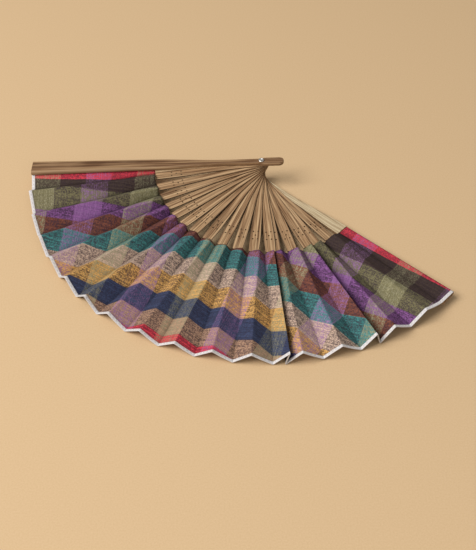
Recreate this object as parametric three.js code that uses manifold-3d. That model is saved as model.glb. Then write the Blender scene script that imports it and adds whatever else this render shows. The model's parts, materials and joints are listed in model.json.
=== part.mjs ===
// A folding fan of bamboo ribs and a pleated cloth leaf, lying open on a table.
// Millimetres and degrees. In the fan's own frame the rivet is the Z axis, Z = 0 is the rivet's foot,
// and members are counted from the upper guard, 0, through the ribs to the lower guard.
import * as THREE from "three";
import { mergeVertices } from "three/addons/utils/BufferGeometryUtils.js";
import Module from "manifold-3d";

const wasm = await Module();
wasm.setup();

// How far the fan is opened: the angle from each member to the next
const UPPER_GUARD_ANGLE = 179.05;
const WIDE_ANGLE = 9.5;
const OPEN_ANGLE = 8.5;
const EASED_ANGLE = 8.05;
const TIGHT_ANGLE = 7.3;
const CAUGHT_ANGLE = 4.6;
const SHUT_ANGLE = 2.7;
const GAPS = [
  TIGHT_ANGLE,
  EASED_ANGLE,
  ...Array(5).fill(TIGHT_ANGLE),
  ...Array(5).fill(OPEN_ANGLE),
  SHUT_ANGLE,
  ...Array(2).fill(OPEN_ANGLE),
  CAUGHT_ANGLE,
  OPEN_ANGLE,
  WIDE_ANGLE,
];

// How the open fan leans as it lies on its rivet and on the edge of its leaf
const SIDE_LEAN = -3.29;
const FRONT_LEAN = 1.38;

// Lengths from the rivet's axis
const TIP_RADIUS = 192;
const LEAF_INNER = 88.5;
const GUARD_TAIL = 18.5;
const RIB_HEAD = 6.5;
const TONGUE_SHORT_OF_TIP = 3;
const NECK_END = 20;
const GUARD_NECK_END = 30;
const BLADE_FULL = 78;

// Widths
const NECK_WIDTH = 4.8;
const BLADE_WIDTH = 8.6;
const BLADE_END_WIDTH = 7.8;
const TONGUE_WIDTH = 2.4;
const HEAD_WIDTH = 5.4;
const TAIL_WIDTH = 7.7;
const GUARD_LEAF_WIDTH = 11;
const GUARD_TIP_WIDTH = 14.3;
const GUARD_BEVEL = 1.2;
const GUARD_BEVEL_DROP = 1.1;

// Thicknesses
const RIB_THICKNESS = 0.8;
const TONGUE_THICKNESS = 0.4;
const GUARD_THICKNESS = 3;
const GUARD_TIP_THICKNESS = 4;
const GUARD_RELIEF = 1;
const LEAF_THICKNESS = 0.3;
const HEM_THICKNESS = 0.7;

// The leaf's pleats and its bound edge
const PANEL_ANGLE = 5.1;
const STEEPEST_PLEAT_ANGLE = 42;
const PLEAT_START_SHARE = 0.75;
const PLEAT_RUN = 45;
const HEM_WIDTH = 2.6;
const HEM_RAMP = 0.3;

// Five pierced holes on each rib, as on a die
const PIERCED_RADIUS = 71;
const PIERCED_LENGTH = 8;
const PIERCED_SPREAD = 3.8;
const PIERCED_DIAMETER = 1.3;

// The hollow rivet and its foot
const TUBE_DIAMETER = 2.6;
const TUBE_BORE = 1.5;
const DRILL_LENGTH = 12;
const FLANGE_DIAMETER = 4.7;
const FLANGE_HEIGHT = 0.9;
const ROLL_SHARE = 0.33;
const FOOT_DIAMETER = 5.2;
const FOOT_HEIGHT = 0.8;

// Clearances
const RIB_PLAY = 0.3;
const PIVOT_CLEARANCE = 0.15;
const SEAT_GAP = 0.2;
const GLUE_GAP = 0.2;
const CREASE_GAP = 0.3;
const BLADE_TO_LEAF = 0.3;
const LEAF_END_INSET = 0.4;

// Smoothness of round stretches
const ROUND_SIDES = 16;
const PIERCED_SIDES = 8;
const END_STEPS = 5;
const END_FLAT_SHARE = 0.4;
const BLADE_STEPS = 6;
const PLEAT_STEPS = 3;

const MATERIALS = {
  bamboo: new THREE.MeshStandardMaterial({ color: 0xa17c57, roughness: 0.6, metalness: 0 }),
  guard: new THREE.MeshStandardMaterial({ color: 0x86603f, roughness: 0.5, metalness: 0 }),
  leaf: new THREE.MeshStandardMaterial({ color: 0x80606f, roughness: 0.9, metalness: 0 }),
  rivet: new THREE.MeshStandardMaterial({ color: 0xd8d6d0, roughness: 0.25, metalness: 1 }),
};

const LOWER_GUARD = GAPS.length;
const RIBS = Array.from({ length: LOWER_GUARD - 1 }, (_, i) => i + 1);
const PITCH = RIB_THICKNESS + RIB_PLAY;
const LOWER_INNER_FACE = FOOT_HEIGHT + SEAT_GAP + GUARD_THICKNESS;
const UPPER_INNER_FACE = LOWER_INNER_FACE + RIBS.length * PITCH + RIB_PLAY;
const RIVET_TOP = UPPER_INNER_FACE + GUARD_THICKNESS + SEAT_GAP;

const { degToRad, lerp, smoothstep } = THREE.MathUtils;
const twoDigits = (number) => String(number).padStart(2, "0");

// Where each member lies: its direction, and the height of a rib's middle plane
const directions = GAPS.reduce(
  (found, gap) => [...found, found.at(-1) + degToRad(gap)],
  [degToRad(UPPER_GUARD_ANGLE)],
);
const ribHeight = (rib) => LOWER_INNER_FACE + (LOWER_GUARD - rib) * PITCH - RIB_THICKNESS / 2;

// A closed solid through rings of points that run outwards, each anticlockwise seen from the far end.
// Opposite faces are split along the same diagonal, so a thin twisted sheet keeps its thickness.
function loft(rings) {
  const sides = rings[0].length;
  const last = (rings.length - 1) * sides;
  const faces = [];
  for (let start = 0; start < last; start += sides) {
    for (let side = 0; side < sides; side++) {
      const near = start + side;
      const next = start + ((side + 1) % sides);
      const beyond = near + sides;
      const across = next + sides;
      const oneWay = [near, next, across, near, across, beyond];
      const otherWay = [near, next, beyond, next, across, beyond];
      faces.push(...(side < sides / 2 ? oneWay : otherWay));
    }
  }
  for (let side = 1; side < sides - 1; side++) {
    faces.push(0, side + 1, side, last, last + side, last + side + 1);
  }
  const geometry = new THREE.BufferGeometry().setFromPoints(rings.flat());
  geometry.setIndex(faces);
  return geometry;
}

function solidOf(geometry) {
  const bare = new THREE.BufferGeometry();
  bare.setAttribute("position", geometry.getAttribute("position"));
  bare.setIndex(geometry.getIndex());
  const merged = mergeVertices(bare);
  const vertProperties = merged.getAttribute("position").array;
  const triVerts = new Uint32Array(merged.getIndex().array);
  return new wasm.Manifold(new wasm.Mesh({ numProp: 3, vertProperties, triVerts }));
}

// The geometry with every cutter taken out of it
function cut(geometry, cutters) {
  const left = cutters.reduce((body, cutter) => body.subtract(solidOf(cutter)), solidOf(geometry));
  const { vertProperties, triVerts } = left.getMesh();
  const made = new THREE.BufferGeometry();
  made.setAttribute("position", new THREE.BufferAttribute(vertProperties, 3));
  made.setIndex(new THREE.BufferAttribute(triVerts, 1));
  return made;
}

// A cutter for a hole across a flat piece, long enough to pass through a guard
function drill(diameter, sides, x, y) {
  const cutter = new THREE.CylinderGeometry(diameter / 2, diameter / 2, DRILL_LENGTH, sides);
  return cutter.rotateX(Math.PI / 2).translate(x, y, 0);
}

const rivetHole = () => drill(TUBE_DIAMETER + 2 * PIVOT_CLEARANCE, ROUND_SIDES, 0, 0);

// Lengthways places and half widths of a round end that finishes at -reach
function roundEnd(reach, width) {
  const radius = width / 2;
  return Array.from({ length: END_STEPS }, (_, step) => {
    const turn = (Math.PI / 2) * ((step + END_FLAT_SHARE) / (END_STEPS - 1 + END_FLAT_SHARE));
    return [radius - reach - radius * Math.cos(turn), radius * Math.sin(turn)];
  });
}

// Evenly spaced lengthways places from one to another
function spread(from, to, steps) {
  return Array.from({ length: steps + 1 }, (_, step) => lerp(from, to, step / steps));
}

// Where the pleats steepen, outwards from the leaf's inner edge
const pleatStations = spread(LEAF_INNER, LEAF_INNER + PLEAT_RUN, PLEAT_STEPS);

const rectangle = (x, half, low, high) => [
  new THREE.Vector3(x, -half, low),
  new THREE.Vector3(x, half, low),
  new THREE.Vector3(x, half, high),
  new THREE.Vector3(x, -half, high),
];

const turned = (ring, angle) => ring.map((p) => p.applyAxisAngle(new THREE.Vector3(1, 0, 0), angle));

// How steeply a rib's panel is pleated at a radius: a little less at the blade than towards the hem
function pleatTilt(rib, radius) {
  const meanGap = (GAPS[rib - 1] + GAPS[rib]) / 2;
  const drawnFlat = Math.min(1, meanGap / (2 * PANEL_ANGLE));
  const full = Math.min(Math.acos(drawnFlat), degToRad(STEEPEST_PLEAT_ANGLE));
  const ramp = smoothstep(radius, LEAF_INNER, LEAF_INNER + PLEAT_RUN);
  return full * lerp(PLEAT_START_SHARE, 1, ramp);
}

// A rib: a round head on the rivet, a slim neck, a flat pierced blade, and a thin tongue that turns
// with its panel of the leaf
function ribGeometry(rib) {
  const half = RIB_THICKNESS / 2;
  const bladeEnd = LEAF_INNER - BLADE_TO_LEAF;
  const tongueEnd = TIP_RADIUS - TONGUE_SHORT_OF_TIP;
  const bladeHalf = (x) => lerp(NECK_WIDTH, BLADE_WIDTH, smoothstep(x, NECK_END, BLADE_FULL)) / 2;
  const head = roundEnd(RIB_HEAD, HEAD_WIDTH);
  const neck = [[TUBE_DIAMETER, HEAD_WIDTH / 2]];
  const blade = spread(NECK_END, BLADE_FULL, BLADE_STEPS).map((x) => [x, bladeHalf(x)]);
  const end = [[bladeEnd, BLADE_END_WIDTH / 2]];
  const flat = [...head, ...neck, ...blade, ...end].map(([x, width]) => rectangle(x, width, -half, half));
  const thin = TONGUE_THICKNESS / 2;
  const tongue = [...pleatStations, tongueEnd].map((x) =>
    turned(rectangle(x, TONGUE_WIDTH / 2, -thin, thin), pleatTilt(rib, x)),
  );
  const pierced = [[0, 0], [-1, -1], [-1, 1], [1, -1], [1, 1]].map(([along, across]) =>
    drill(
      PIERCED_DIAMETER,
      PIERCED_SIDES,
      PIERCED_RADIUS + (along * PIERCED_LENGTH) / 2,
      (across * PIERCED_SPREAD) / 2,
    ),
  );
  return cut(loft([...flat, ...tongue]), [rivetHole(), ...pierced]);
}

// Half a guard's width at a place along it, past its tail
function guardHalf(x) {
  const toLeaf = lerp(NECK_WIDTH, GUARD_LEAF_WIDTH, smoothstep(x, GUARD_NECK_END, LEAF_INNER));
  const pastLeaf = Math.max(0, (x - LEAF_INNER) / (TIP_RADIUS - LEAF_INNER));
  return (toLeaf + pastLeaf * (GUARD_TIP_WIDTH - GUARD_LEAF_WIDTH)) / 2;
}

// A guard: inner face at Z = 0, bevelled outer face above it, and a shallow relief for the leaf's end
function guardGeometry() {
  const ring = ([x, half, relief]) => {
    const share = Math.max(0, x / TIP_RADIUS);
    const top = lerp(GUARD_THICKNESS, GUARD_TIP_THICKNESS, share);
    const bevel = (GUARD_BEVEL * half) / (GUARD_TIP_WIDTH / 2);
    return [
      new THREE.Vector3(x, -half, relief),
      new THREE.Vector3(x, half, relief),
      new THREE.Vector3(x, half, top - GUARD_BEVEL_DROP),
      new THREE.Vector3(x, half - bevel, top),
      new THREE.Vector3(x, bevel - half, top),
      new THREE.Vector3(x, -half, top - GUARD_BEVEL_DROP),
    ];
  };
  const reliefStart = LEAF_INNER - 2 * BLADE_TO_LEAF;
  const tail = roundEnd(GUARD_TAIL, TAIL_WIDTH).map(([x, half]) => [x, half, 0]);
  const shoulder = [[-TUBE_DIAMETER, TAIL_WIDTH / 2, 0], [TUBE_DIAMETER, HEAD_WIDTH / 2, 0]];
  const arm = [...spread(NECK_END, BLADE_FULL, BLADE_STEPS), reliefStart].map((x) => [x, guardHalf(x), 0]);
  const held = [reliefStart + BLADE_TO_LEAF, TIP_RADIUS].map((x) => [x, guardHalf(x), GUARD_RELIEF]);
  return cut(loft([...tail, ...shoulder, ...arm, ...held].map(ring)), [rivetHole()]);
}

// The leaf's stations along its length, each with the thickness there: plain cloth, then the bound edge
const leafStations = [
  ...pleatStations.map((radius) => [radius, LEAF_THICKNESS]),
  [TIP_RADIUS - HEM_WIDTH, LEAF_THICKNESS],
  [TIP_RADIUS - HEM_WIDTH + HEM_RAMP, HEM_THICKNESS],
  [TIP_RADIUS, HEM_THICKNESS],
];

const panelHalf = (radius) => radius * Math.tan(degToRad(PANEL_ANGLE) / 2);
const leafLift = TONGUE_THICKNESS / 2 + GLUE_GAP + LEAF_THICKNESS / 2;
const endLift = GUARD_RELIEF - GLUE_GAP - HEM_THICKNESS / 2;

// A rib's panel of the leaf, over its tongue, in the rib's own frame
function ribPanelGeometry(rib) {
  const lift = leafLift + (HEM_THICKNESS - LEAF_THICKNESS) / 2;
  return loft(
    leafStations.map(([radius, thickness]) =>
      turned(
        rectangle(radius, panelHalf(radius), lift - thickness / 2, lift + thickness / 2),
        pleatTilt(rib, radius),
      ),
    ),
  );
}

// A panel at an end of the leaf, in a guard's relief: its free edge keeps inside the guard's own edge
function endPanelGeometry(foldSide) {
  return loft(
    leafStations.map(([radius, thickness]) => {
      const free = guardHalf(radius) - LEAF_END_INSET;
      const fold = panelHalf(radius);
      const shift = (foldSide * (fold - free)) / 2;
      const ring = rectangle(radius, (fold + free) / 2, endLift - thickness / 2, endLift + thickness / 2);
      return ring.map((p) => p.add(new THREE.Vector3(0, shift, 0)));
    }),
  );
}

// A point in the middle of the cloth on a member, some way across from its centre line, in the fan's frame
function clothPoint(member, radius, across) {
  const point = new THREE.Vector3(radius, across, 0);
  if (member === 0) {
    point.z = UPPER_INNER_FACE + endLift;
  } else if (member === LOWER_GUARD) {
    point.z = LOWER_INNER_FACE - endLift;
  } else {
    point.z = leafLift + (HEM_THICKNESS - LEAF_THICKNESS) / 2;
    point.applyAxisAngle(new THREE.Vector3(1, 0, 0), pleatTilt(member, radius));
    point.z += ribHeight(member);
  }
  return point.applyAxisAngle(new THREE.Vector3(0, 0, 1), directions[member]);
}

// How far a fold panel stops short of a crease so that two thick sheets clear each other there
function creaseInset(crease, along, across, thickness) {
  const corner = new THREE.Vector3().subVectors(along, crease).angleTo(across.clone().sub(crease));
  const clear = CREASE_GAP / Math.sin(Math.min(corner, Math.PI / 2));
  return thickness / 2 / Math.tan(corner / 2) + clear;
}

// The panel that folds between a member and the next: it rises from the next one's low edge to the high
// edge of this one
function foldPanelGeometry(member) {
  const next = member + 1;
  const rings = leafStations.map(([radius, thickness]) => {
    const edge = panelHalf(radius);
    const high = clothPoint(member, radius, edge);
    const low = clothPoint(next, radius, -edge);
    const rise = new THREE.Vector3().subVectors(high, low);
    const middle = (directions[member] + directions[next]) / 2;
    const outwards = new THREE.Vector3(Math.cos(middle), Math.sin(middle), 0);
    const slope = rise.clone().normalize();
    const normal = new THREE.Vector3().crossVectors(slope, outwards).setLength(thickness / 2);
    const lowInset = creaseInset(low, clothPoint(next, radius, 0), high, thickness);
    const highInset = creaseInset(high, clothPoint(member, radius, 0), low, thickness);
    const start = low.clone().addScaledVector(slope, lowInset);
    const end = high.clone().addScaledVector(slope, -highInset);
    return [
      end.clone().sub(normal),
      start.clone().sub(normal),
      start.clone().add(normal),
      end.clone().add(normal),
    ];
  });
  return loft(rings);
}

// A turned piece from a closed outline of radius and height
function turnedPiece(outline) {
  const points = [...outline, outline[0]].map(([radius, height]) => new THREE.Vector2(radius, height));
  return new THREE.LatheGeometry(points, ROUND_SIDES).rotateX(Math.PI / 2);
}

// The hollow rivet: a tube with a rolled flange on the upper guard
function rivetGeometry() {
  const bore = TUBE_BORE / 2;
  const tube = TUBE_DIAMETER / 2;
  const flange = FLANGE_DIAMETER / 2;
  const crest = RIVET_TOP + FLANGE_HEIGHT;
  const rolled = (flange - bore) * ROLL_SHARE;
  return turnedPiece([
    [bore, SEAT_GAP],
    [tube, SEAT_GAP],
    [tube, RIVET_TOP],
    [flange, RIVET_TOP],
    [flange, RIVET_TOP + FLANGE_HEIGHT * ROLL_SHARE],
    [flange - rolled, crest],
    [bore + rolled, crest],
    [bore, RIVET_TOP + FLANGE_HEIGHT * ROLL_SHARE],
  ]);
}

// The foot: a flat ring round the rivet's lower end, which the fan stands on
function footGeometry() {
  const hole = TUBE_DIAMETER / 2 + PIVOT_CLEARANCE;
  const rim = FOOT_DIAMETER / 2;
  return turnedPiece([
    [hole, 0],
    [rim, 0],
    [rim, FOOT_HEIGHT],
    [hole, FOOT_HEIGHT],
  ]);
}

const fan = new THREE.Group();

function addPiece(parent, name, geometry, material) {
  const piece = new THREE.Mesh(geometry, material);
  piece.name = name;
  parent.add(piece);
}

// A group that lies along a member, at a height above the rivet's foot
function memberGroup(member, height) {
  const group = new THREE.Group();
  group.position.z = height;
  group.rotation.z = directions[member];
  fan.add(group);
  return group;
}

const upperGuard = memberGroup(0, UPPER_INNER_FACE);
addPiece(upperGuard, "upper_guard", guardGeometry(), MATERIALS.guard);
addPiece(upperGuard, "leaf_end_panel_upper", endPanelGeometry(1), MATERIALS.leaf);

for (const rib of RIBS) {
  const group = memberGroup(rib, ribHeight(rib));
  addPiece(group, `rib_${twoDigits(rib)}`, ribGeometry(rib), MATERIALS.bamboo);
  addPiece(group, `leaf_rib_panel_${twoDigits(rib)}`, ribPanelGeometry(rib), MATERIALS.leaf);
}

// The lower guard is the same piece turned over
const lowerGuard = memberGroup(LOWER_GUARD, LOWER_INNER_FACE);
lowerGuard.rotation.x = Math.PI;
lowerGuard.rotation.order = "ZYX";
addPiece(lowerGuard, "lower_guard", guardGeometry(), MATERIALS.guard);
addPiece(lowerGuard, "leaf_end_panel_lower", endPanelGeometry(1), MATERIALS.leaf);

GAPS.forEach((_, member) => {
  addPiece(fan, `leaf_fold_panel_${twoDigits(member + 1)}`, foldPanelGeometry(member), MATERIALS.leaf);
});

addPiece(fan, "rivet_tube", rivetGeometry(), MATERIALS.rivet);
addPiece(fan, "rivet_foot", footGeometry(), MATERIALS.rivet);

// The fan leans as it lies, and the middle of its box stands on the origin
const part = new THREE.Group();
fan.rotation.set(degToRad(FRONT_LEAN), degToRad(SIDE_LEAN), 0);
part.add(fan);
const box = new THREE.Box3().setFromObject(part, true);
const middle = box.getCenter(new THREE.Vector3());
fan.position.set(-middle.x, -middle.y, -box.min.z);

export default part;
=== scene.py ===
import json
import math

import bmesh
import bpy
import numpy as np
from mathutils import Matrix, Vector, noise

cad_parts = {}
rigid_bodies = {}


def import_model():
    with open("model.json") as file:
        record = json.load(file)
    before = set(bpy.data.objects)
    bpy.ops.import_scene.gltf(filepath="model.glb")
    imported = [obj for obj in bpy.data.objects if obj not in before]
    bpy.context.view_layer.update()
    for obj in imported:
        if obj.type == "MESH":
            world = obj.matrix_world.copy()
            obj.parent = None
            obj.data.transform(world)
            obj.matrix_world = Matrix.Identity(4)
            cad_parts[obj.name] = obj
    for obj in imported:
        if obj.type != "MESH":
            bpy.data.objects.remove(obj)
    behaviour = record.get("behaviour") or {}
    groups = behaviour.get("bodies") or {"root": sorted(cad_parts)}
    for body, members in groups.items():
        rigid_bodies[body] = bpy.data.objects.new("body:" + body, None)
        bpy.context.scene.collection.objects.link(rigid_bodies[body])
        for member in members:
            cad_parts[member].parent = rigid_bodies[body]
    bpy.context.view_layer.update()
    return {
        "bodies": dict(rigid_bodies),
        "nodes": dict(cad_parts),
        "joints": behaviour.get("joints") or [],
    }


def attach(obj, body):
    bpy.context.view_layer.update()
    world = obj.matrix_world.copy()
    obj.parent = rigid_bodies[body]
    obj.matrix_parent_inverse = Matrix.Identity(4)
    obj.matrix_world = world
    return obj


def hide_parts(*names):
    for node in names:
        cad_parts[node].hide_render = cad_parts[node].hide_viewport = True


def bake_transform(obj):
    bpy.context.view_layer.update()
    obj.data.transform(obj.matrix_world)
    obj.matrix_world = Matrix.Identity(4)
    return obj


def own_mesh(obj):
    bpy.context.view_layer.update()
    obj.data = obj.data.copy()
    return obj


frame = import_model()

# Lengths are in millimetres and angles in degrees until a mesh or a node is made.
# In the fan's own frame the rivet is the Z axis, and Z = 0 is the underside of the rivet's foot.
# Members are counted from the upper guard, 0, through the ribs, 1 to 17, to the lower guard, 18.
MM = 0.001
TINY = 1e-9
UP = np.array([0.0, 0.0, 1.0])

# How far the fan is opened: the angle from each member to the next
UPPER_GUARD_ANGLE = 179.05
WIDE_ANGLE = 9.5
OPEN_ANGLE = 8.5
EASED_ANGLE = 8.05
TIGHT_ANGLE = 7.3
CAUGHT_ANGLE = 4.6
SHUT_ANGLE = 2.7
GAPS = (
    [TIGHT_ANGLE, EASED_ANGLE]
    + [TIGHT_ANGLE] * 5
    + [OPEN_ANGLE] * 5
    + [SHUT_ANGLE]
    + [OPEN_ANGLE] * 2
    + [CAUGHT_ANGLE, OPEN_ANGLE, WIDE_ANGLE]
)
LAST = len(GAPS)
ANGLES = UPPER_GUARD_ANGLE + np.concatenate([[0.0], np.cumsum(GAPS)])

# How the open fan leans as it lies
FRONT_LEAN = 1.38
SIDE_LEAN = -3.29

# The stack of sticks on the rivet's foot
FOOT_HEIGHT = 0.8
SEAT_GAP = 0.2
GUARD_THICKNESS = 3.0
RIB_THICKNESS = 0.8
RIB_PLAY = 0.3
STACK_PITCH = RIB_THICKNESS + RIB_PLAY
LOWER_FACE = FOOT_HEIGHT + SEAT_GAP + GUARD_THICKNESS
UPPER_FACE = LOWER_FACE + (LAST - 1) * STACK_PITCH + RIB_PLAY

# The sticks' outlines
NECK_END = 20.0
GUARD_NECK_END = 30.0
BLADE_FULL = 78.0
NECK_HALF = 2.4
BLADE_HALF = 4.3
GUARD_LEAF_HALF = 5.5
GUARD_TIP_HALF = 7.15

# The leaf's extent and pleats
TIP_RADIUS = 192.0
LEAF_INNER = 88.5
PANEL_ANGLE = 5.1
STEEPEST = 42.0
PLEAT_START_SHARE = 0.75
PLEAT_RUN = 45.0
# The first fold starts nearer the upper guard's middle line than the others do to a rib's.
FIRST_FOLD_SHARE = 0.6
# Near the blades a rib's panel takes more of the cloth, and the fold beside it less.
INNER_WIDENING = 0.32
WIDENING_RUN = 60.0

# How the leaf lies on the sticks: above a rib's middle plane, above the upper guard's inner face and
# below the lower guard's, and in from the guards' edges
CLOTH_LIFT = 0.7
END_LIFT = 0.6
END_SINK = 0.3
END_INSET = 0.4

# The cloth and the tape that binds its outer edge
CLOTH_THICKNESS = 0.3
HEM_THICKNESS = 0.5
HEM_STARTS = 189.5
HEM_FULL = 189.75
HEM_BODY_ROWS = [190.3, 191.0]
HEM_ROUNDS = 191.7
HEM_ROUND_ROW = 191.9
HEM_RISE = 0.15

# The leaf's rounded creases and unevenness
CREASE_REACH = 0.9
CREASE_STEPS = 4
PANEL_STEPS = 9
PLAIN_ROWS = 46
FOLD_SAG = 0.4
FOLD_WAVE = 0.3
RIB_WAVE = 0.1
RIB_CROWN = 0.9
CROWN_RUN = 45.0
WAVE_LENGTH = 21.0
WAVE_ACROSS = 0.7
WAVE_NEXT_PANEL = 3.7

# Painted shade: the cloth is darkened along its valley folds, most near the blades, and widely beside
# the caught and shut folds, where shadow falls.
VALLEY_SHADE_REACH = 1.7
VALLEY_SHADE_RUN = 70.0
VALLEY_SHADE_HEM_SHARE = 0.5
CAUGHT_SHADOW_REACH = 6.5

# Where the cloth's colours lie on it, as it was woven flat
FLAT_START = -0.5
FLAT_STEP = 9.9
# Towards the lower guard the cloth was glued askew: turned back, and slipped outwards along the ribs.
ASKEW_FROM = 140.0
ASKEW_FULL = 174.0
ASKEW_TURN = 3.2
ASKEW_SLIP = 11.0

LEAN = np.array(
    Matrix.Rotation(math.radians(FRONT_LEAN), 3, "X")
    @ Matrix.Rotation(math.radians(SIDE_LEAN), 3, "Y")
)
PIVOT = np.array(frame["joints"][0]["pos_m"], float) / MM
AXIS = LEAN @ UP


def turned(points, angle):
    """Points of a stick's own frame, in the fan's frame."""
    c = math.cos(math.radians(angle))
    s = math.sin(math.radians(angle))
    turn = np.array([[c, -s, 0.0], [s, c, 0.0], [0.0, 0.0, 1.0]])
    return np.asarray(points, float) @ turn.T


def to_row(points):
    """Points of the fan's frame, in the row frame and in metres."""
    return (np.asarray(points, float) @ LEAN.T + PIVOT) * MM


def on_member(k, radius, height):
    """A point of member k's middle line, in the row frame and in metres."""
    return to_row(turned([[radius, 0.0, height]], ANGLES[k]))[0]


def unit(v):
    return v / np.maximum(np.linalg.norm(v, axis=-1, keepdims=True), TINY)


def smoothstep(t):
    t = np.clip(t, 0.0, 1.0)
    return t * t * (3.0 - 2.0 * t)


def member_name(k):
    if k == 0:
        return "upper_guard"
    return "lower_guard" if k == LAST else f"rib_{k:02d}"


def level(k):
    """The height of rib k's middle plane."""
    return LOWER_FACE + (LAST - k) * STACK_PITCH - RIB_THICKNESS / 2.0


# Materials

UNIT = (0.0, 1.0)
# Most of a noise lies in the first span, and nearly all of it in the second.
NOISE_SPAN = (0.3, 0.7)
WIDE_SPAN = (0.2, 0.8)


class Nodes:
    """A short way to write a material's nodes."""

    def __init__(self, name):
        self.material = bpy.data.materials.new(name)
        self.material.use_nodes = True
        self.tree = self.material.node_tree
        self.shader = self.tree.nodes["Principled BSDF"]

    def node(self, kind, **settings):
        made = self.tree.nodes.new(kind)
        for key, value in settings.items():
            setattr(made, key, value)
        return made

    def put(self, socket, value):
        if isinstance(value, bpy.types.NodeSocket):
            self.tree.links.new(value, socket)
        else:
            socket.default_value = value

    def fill(self, made, values):
        for socket, value in zip(made.inputs, values):
            self.put(socket, value)

    def attribute(self, name, output):
        return self.node("ShaderNodeAttribute", attribute_name=name).outputs[output]

    def place(self):
        """Where the surface is in its object's frame, in metres."""
        return self.node("ShaderNodeTexCoord").outputs["Object"]

    def math(self, operation, *values):
        made = self.node("ShaderNodeMath", operation=operation)
        self.fill(made, values)
        return made.outputs[0]

    def plus(self, a, b):
        return self.math("ADD", a, b)

    def minus(self, a, b):
        return self.math("SUBTRACT", a, b)

    def times(self, a, b):
        return self.math("MULTIPLY", a, b)

    def wave(self, place, half_length):
        return self.math("SINE", self.times(place, math.pi / half_length))

    def remap(self, value, span, result=UNIT, smooth=False):
        """The value's way through span, laid over result."""
        made = self.node("ShaderNodeMapRange")
        made.interpolation_type = "SMOOTHSTEP" if smooth else "LINEAR"
        self.fill(made, (value, *span, *result))
        return made.outputs[0]

    def vector(self, x, y, z=0.0):
        made = self.node("ShaderNodeCombineXYZ")
        self.fill(made, (x, y, z))
        return made.outputs[0]

    def split(self, vector):
        made = self.node("ShaderNodeSeparateXYZ")
        self.put(made.inputs[0], vector)
        return made.outputs

    def stretched(self, x, y, along_x, along_y):
        return self.vector(self.times(x, along_x), self.times(y, along_y), along_x)

    def measure(self, operation, a, b=None, output="Value"):
        made = self.node("ShaderNodeVectorMath", operation=operation)
        self.put(made.inputs[0], a)
        if b is not None:
            self.put(made.inputs[1], tuple(b))
        return made.outputs[output]

    def noise(self, vector, scale, detail=2.0, roughness=0.5):
        made = self.node("ShaderNodeTexNoise")
        self.put(made.inputs["Vector"], vector)
        self.put(made.inputs["Scale"], scale)
        self.put(made.inputs["Detail"], detail)
        self.put(made.inputs["Roughness"], roughness)
        return made.outputs["Fac"]

    def count(self, place, width):
        return self.math("FLOOR", self.math("DIVIDE", place, width))

    def yarn(self, place, width):
        """A number from 0 to 1 that stays the same along one yarn."""
        white = self.node("ShaderNodeTexWhiteNoise", noise_dimensions="1D")
        self.put(white.inputs["W"], self.count(place, width))
        return white.outputs["Value"]

    def crossing(self, x, y, width):
        """A number from 0 to 1 for each place where yarns cross."""
        white = self.node("ShaderNodeTexWhiteNoise", noise_dimensions="2D")
        square = self.vector(self.count(x, width), self.count(y, width))
        self.put(white.inputs["Vector"], square)
        return white.outputs["Value"]

    def mix(self, share, a, b):
        made = self.node("ShaderNodeMix", data_type="RGBA")
        # A mix of colours takes them in its seventh and eighth sockets.
        self.put(made.inputs[0], share)
        self.put(made.inputs[6], a)
        self.put(made.inputs[7], b)
        return made.outputs[2]

    def shade(self, colour, factor):
        made = self.node("ShaderNodeVectorMath", operation="SCALE")
        self.put(made.inputs["Vector"], colour)
        self.put(made.inputs["Scale"], factor)
        return made.outputs["Vector"]

    def ramp(self, value, stops, steps=False):
        made = self.node("ShaderNodeValToRGB")
        made.color_ramp.interpolation = "CONSTANT" if steps else "LINEAR"
        elements = made.color_ramp.elements
        while len(elements) < len(stops):
            elements.new(1.0)
        for element, (place, colour) in zip(elements, stops):
            element.position = place
            element.color = colour
        self.put(made.inputs[0], value)
        return made.outputs[0]

    def bump(self, height, depth, strength):
        """Relief as deep as depth, in millimetres."""
        made = self.node("ShaderNodeBump")
        self.put(made.inputs["Strength"], strength)
        self.put(made.inputs["Distance"], depth * MM)
        self.put(made.inputs["Height"], height)
        self.put(self.shader.inputs["Normal"], made.outputs[0])

    def set(self, **values):
        for key, value in values.items():
            self.put(self.shader.inputs[key.replace("_", " ")], value)


def rgb(red, green, blue):
    """A screen colour, 0 to 255, as the linear colour that nodes take."""
    out = []
    for value in (red, green, blue):
        v = value / 255.0
        out.append(v / 12.92 if v <= 0.04045 else ((v + 0.055) / 1.055) ** 2.4)
    return (*out, 1.0)


def grey(value):
    return (value, value, value, 1.0)


# The cloth's colours: bands of weft follow each other along the flat cloth, stripes of warp across it.
WEFT = {
    "crimson": rgb(213, 66, 80),
    "black": rgb(72, 59, 53),
    "olive": rgb(120, 114, 83),
    "purple": rgb(138, 90, 146),
    "brown": rgb(128, 78, 62),
    "teal": rgb(70, 130, 129),
    "pink": rgb(200, 174, 154),
    "mustard": rgb(213, 166, 98),
    "navy": rgb(63, 73, 101),
    "tan": rgb(182, 146, 120),
}
WEFT_ORDER = [*WEFT, "crimson"]
FIRST_WEFT_EDGE = 13.3
WEFT_WIDTH = 19.0
LAST_WEFT_EDGE = 181.8
WEFT_EDGES = [FIRST_WEFT_EDGE + WEFT_WIDTH * i for i in range(len(WEFT_ORDER) - 2)]
WEFT_EDGES.append(LAST_WEFT_EDGE)
WEFT_SPAN = FIRST_WEFT_EDGE + WEFT_WIDTH * len(WEFT_ORDER)
WARP_OLIVE = rgb(168, 162, 130)
WARP_DARK = rgb(68, 53, 66)
WARP_PURPLE = rgb(162, 118, 170)
WARP = [WARP_OLIVE, WARP_DARK, WARP_PURPLE, WARP_DARK]
WARP_PERIOD = 85.5
WARP_CENTRE = -7.0
# Some bands are beaten closer, and show less of the warp: this share of it.
WARP_SHOWS = {"crimson": 0.75, "black": 0.5, "navy": 0.55}
# The painted shade in the gaps between yarns
YARN_GAP_SHADE = rgb(30, 24, 24)

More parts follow.
